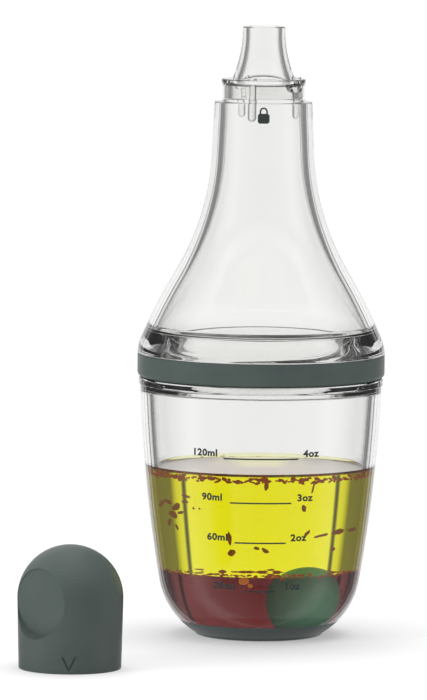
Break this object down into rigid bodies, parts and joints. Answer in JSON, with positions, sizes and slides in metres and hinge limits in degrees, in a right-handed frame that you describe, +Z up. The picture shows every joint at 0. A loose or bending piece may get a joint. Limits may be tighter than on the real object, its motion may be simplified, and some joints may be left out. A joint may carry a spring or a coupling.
{
  "type": "salad dressing shaker bottle",
  "caption": "Clear dressing shaker: cup with dark foot, bell top that unscrews over a sealing band, pouring spout, loose mixing ball, and a domed twist-lock cap standing beside it.",
  "frame": {"origin": "centre of the foot's flat base, on the bottle's axis", "axes": "+Z up along the bottle's axis, -Y out of the printed front, +X to the right seen from the front"},
  "size_m": [0.1015, 0.1245, 0.1725],
  "materials": {
    "clear_plastic": "clear moulded, polished",
    "dark_silicone": "matte moulded silicone",
    "green_silicone": "matte moulded silicone",
    "cap_plastic": "fine matte moulded plastic",
    "liner_plastic": "moulded plastic",
    "pale_silicone": "translucent moulded silicone"
  },
  "bodies": {
    "cup": {"cup": "clear_plastic", "foot": "dark_silicone"},
    "band": {"seal_band": "dark_silicone"},
    "top": {"bell": "clear_plastic", "spout": "clear_plastic"},
    "ball": {"mixing_ball": "green_silicone"},
    "stopper": {"cap_stopper": "pale_silicone"},
    "cap": {"cap_shell": "cap_plastic", "cap_liner": "liner_plastic"}
  },
  "joints": [
    {"name": "top_rise", "type": "slide", "parent": "cup", "child": "band", "axis": [0, 0, 1], "range_m": [0, 0.0151]},
    {"name": "top_turn", "type": "hinge", "parent": "band", "child": "top", "pos_m": [0, 0, 0.08], "axis": [0, 0, 1], "range_deg": [0, 450]},
    {"name": "ball_rise", "type": "slide", "parent": "cup", "child": "ball", "axis": [0, 0, 1], "range_m": [0, 0.075]},
    {"name": "cap_lift", "type": "slide", "parent": "cup", "child": "stopper", "axis": [0, 0, 1], "range_m": [0, 0.18]},
    {"name": "cap_twist", "type": "hinge", "parent": "stopper", "child": "cap", "pos_m": [-0.052, -0.075, 0.02], "axis": [0, 0, 1], "range_deg": [0, 60]}
  ],
  "couplings": [
    {"joint": "top_rise", "follows": "top_turn", "m_per_rad": 0.0019099}
  ]
}
